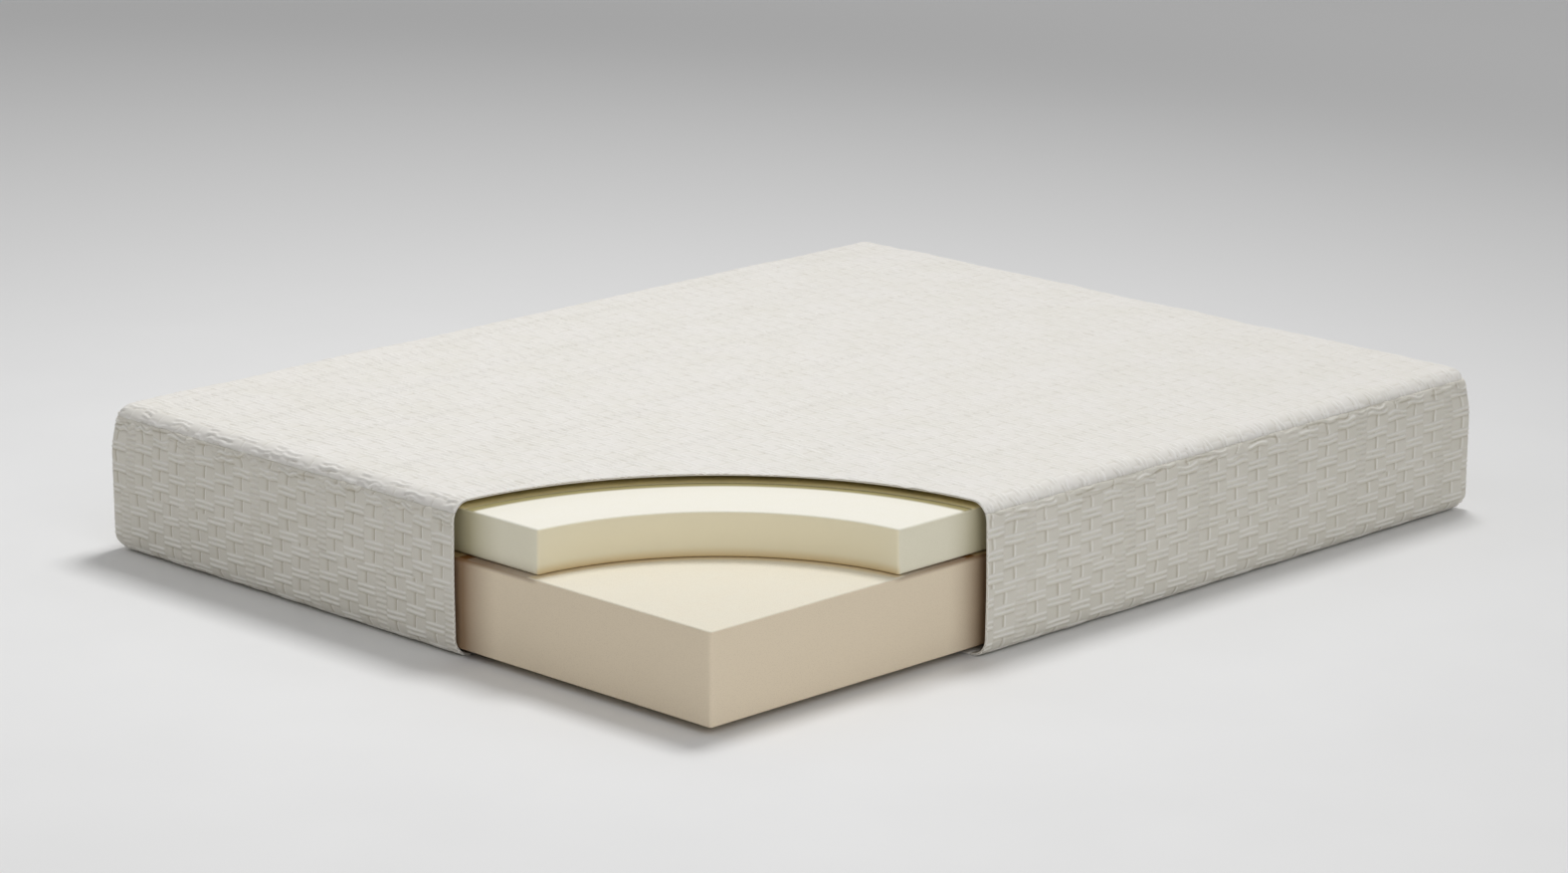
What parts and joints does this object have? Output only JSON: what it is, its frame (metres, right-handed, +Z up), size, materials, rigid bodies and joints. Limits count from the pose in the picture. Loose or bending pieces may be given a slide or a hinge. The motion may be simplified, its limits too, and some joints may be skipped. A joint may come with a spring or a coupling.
{
  "type": "memory foam mattress",
  "caption": "Rectangular memory foam mattress with one foot-end corner of its quilted knit cover and top foam layer cut away in arcs, and a zip along the head end.",
  "frame": {"origin": "centre of the underside, on the surface that the mattress lies on", "axes": "+Z up; +Y towards the head end, along the length; +X across the width, towards the long side that the cut corner is on (the cut corner is at +X, -Y)"},
  "size_m": [1.6, 2, 0.28],
  "materials": {
    "cover_knit": "matte",
    "bottom_fabric": "matte",
    "sock_knit": "matte",
    "memory_foam": "matte",
    "base_foam": "matte",
    "adhesive": "satin",
    "zip_tape": "matte",
    "zip_coil": "satin",
    "zip_metal": "satin",
    "label_fabric": "matte"
  },
  "bodies": {
    "mattress": {"cover_top_panel": "cover_knit", "cover_foot_border": "cover_knit", "cover_right_border": "cover_knit", "cover_head_border_upper": "cover_knit", "cover_head_border_lower": "cover_knit", "cover_left_border": "cover_knit", "cover_bottom_panel": "bottom_fabric", "inner_sock": "sock_knit", "memory_foam_layer": "memory_foam", "adhesive_film": "adhesive", "base_foam_layer": "base_foam", "zip_tape_upper": "zip_tape", "zip_tape_lower": "zip_tape", "zip_coil_upper": "zip_coil", "zip_coil_lower": "zip_coil", "zip_stop_closed_end": "zip_metal", "zip_stop_open_end": "zip_metal", "care_label": "label_fabric"},
    "slider": {"zip_slider": "zip_metal"},
    "pull": {"zip_pull": "zip_metal"}
  },
  "joints": [
    {"name": "zip_slide", "type": "slide", "parent": "mattress", "child": "slider", "axis": [1, 0, 0], "range_m": [-1.4, 0]},
    {"name": "pull_swing", "type": "hinge", "parent": "slider", "child": "pull", "pos_m": [0.7, 0.9945, 0.062], "axis": [0, 0, -1], "range_deg": [0, 180]}
  ]
}
